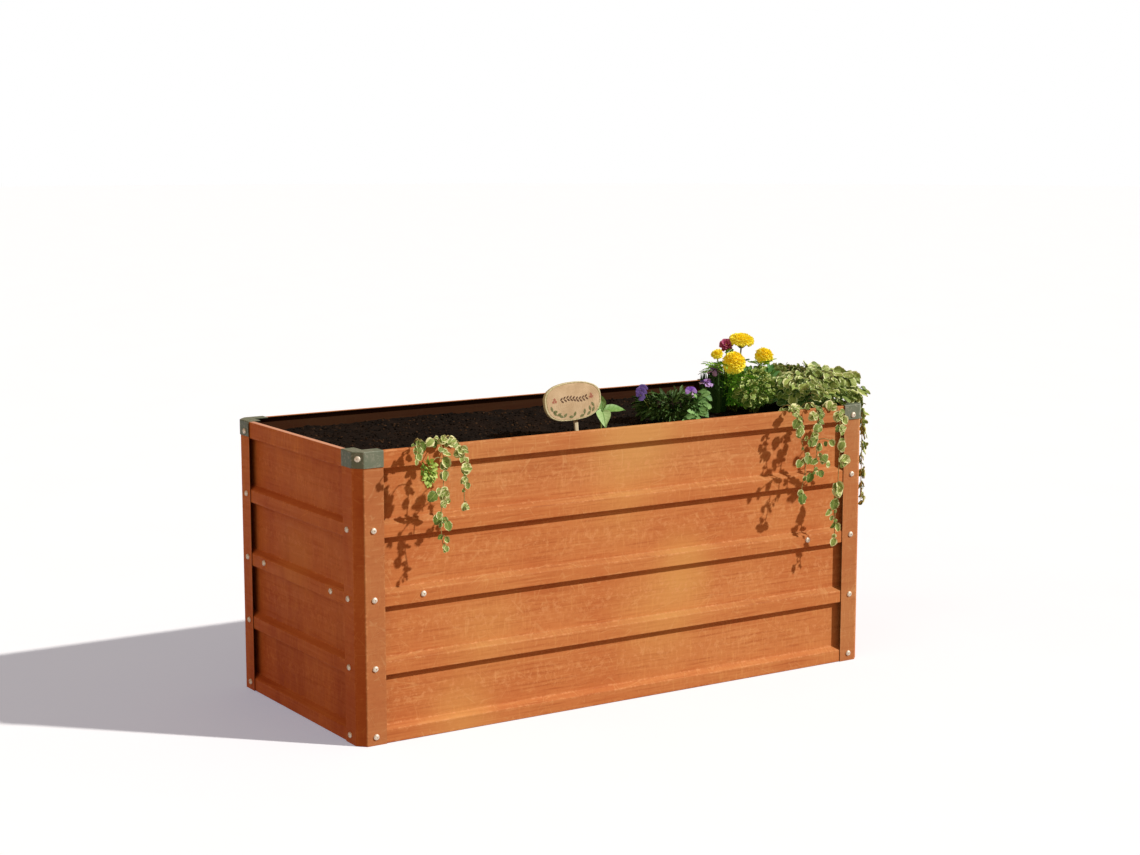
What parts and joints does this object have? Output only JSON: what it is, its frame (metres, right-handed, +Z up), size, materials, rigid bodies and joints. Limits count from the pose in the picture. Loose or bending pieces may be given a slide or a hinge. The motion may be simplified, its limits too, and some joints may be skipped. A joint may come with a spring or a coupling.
{
  "type": "planted raised bed",
  "caption": "Rectangular raised garden bed of ribbed rust-brown sheet steel with capped corner posts, filled with soil and planted with flowers and trailing foliage, with a small wooden sign.",
  "frame": {"origin": "centre of the bed's base, on the surface it stands on", "axes": "+X along the length towards the densely planted end, -Y out of the front wall, +Z up"},
  "size_m": [1.251, 0.5767, 0.6852],
  "materials": {
    "painted_steel": "satin paint with a brushed wood-like grain and fine scratches",
    "cap_paint": "satin grey-green paint",
    "bolt_steel": "bright zinc",
    "brace_steel": "galvanised",
    "soil": "dark, crumbly, matt",
    "sign_wood": "sanded pale wood with a bark rim",
    "stake_wood": "raw split wood",
    "green_leaf": "satin leaf",
    "dark_leaf": "satin leaf",
    "variegated_leaf": "satin leaf, green with a cream margin",
    "stem": "green stem",
    "yellow_petal": "matt petal",
    "purple_petal": "matt petal",
    "pink_petal": "matt petal"
  },
  "bodies": {
    "root": {"back_panel": "painted_steel", "cap_bolt_back_left_on_back": "bolt_steel", "cap_bolt_back_left_on_left": "bolt_steel", "cap_bolt_back_right_on_back": "bolt_steel", "cap_bolt_back_right_on_right": "bolt_steel", "cap_bolt_front_left": "bolt_steel", "cap_bolt_front_right_on_front": "bolt_steel", "cap_bolt_front_right_on_right": "bolt_steel", "corner_brace_back_left": "brace_steel", "corner_brace_back_right": "brace_steel", "corner_brace_front_left": "brace_steel", "corner_brace_front_right": "brace_steel", "corner_cap_back_left": "cap_paint", "corner_cap_back_right": "cap_paint", "corner_cap_front_left": "cap_paint", "corner_cap_front_right": "cap_paint", "corner_post_back_left": "painted_steel", "corner_post_back_right": "painted_steel", "corner_post_front_left": "painted_steel", "corner_post_front_right": "painted_steel", "cosmos_bloom": "pink_petal", "cosmos_stem": "stem", "front_panel": "painted_steel", "iris_flower_1": "purple_petal", "iris_flower_2": "purple_petal", "iris_leaves": "dark_leaf", "left_panel": "painted_steel", "marigold_1_bloom": "yellow_petal", "marigold_1_stem": "stem", "marigold_2_bloom": "yellow_petal", "marigold_2_stem": "stem", "marigold_3_bloom": "yellow_petal", "marigold_3_stem": "stem", "marigold_4_bloom": "yellow_petal", "marigold_4_stem": "stem", "marigold_leaves": "green_leaf", "plectranthus_leaves": "variegated_leaf", "right_panel": "painted_steel", "seedling_leaf_1": "green_leaf", "seedling_leaf_2": "green_leaf", "seedling_leaf_3": "green_leaf", "seedling_stem": "stem", "sign_board": "sign_wood", "sign_stake": "stake_wood", "soil": "soil", "trailing_stem_front_1": "variegated_leaf", "trailing_stem_front_2": "variegated_leaf", "trailing_stem_front_3": "variegated_leaf", "trailing_stem_front_4": "variegated_leaf", "trailing_stem_front_5": "variegated_leaf", "trailing_stem_front_6": "variegated_leaf", "trailing_stem_side_1": "variegated_leaf", "trailing_stem_side_2": "variegated_leaf", "viola_flower_1": "purple_petal", "viola_flower_2": "purple_petal", "viola_leaves": "dark_leaf"}
  },
  "joints": []
}
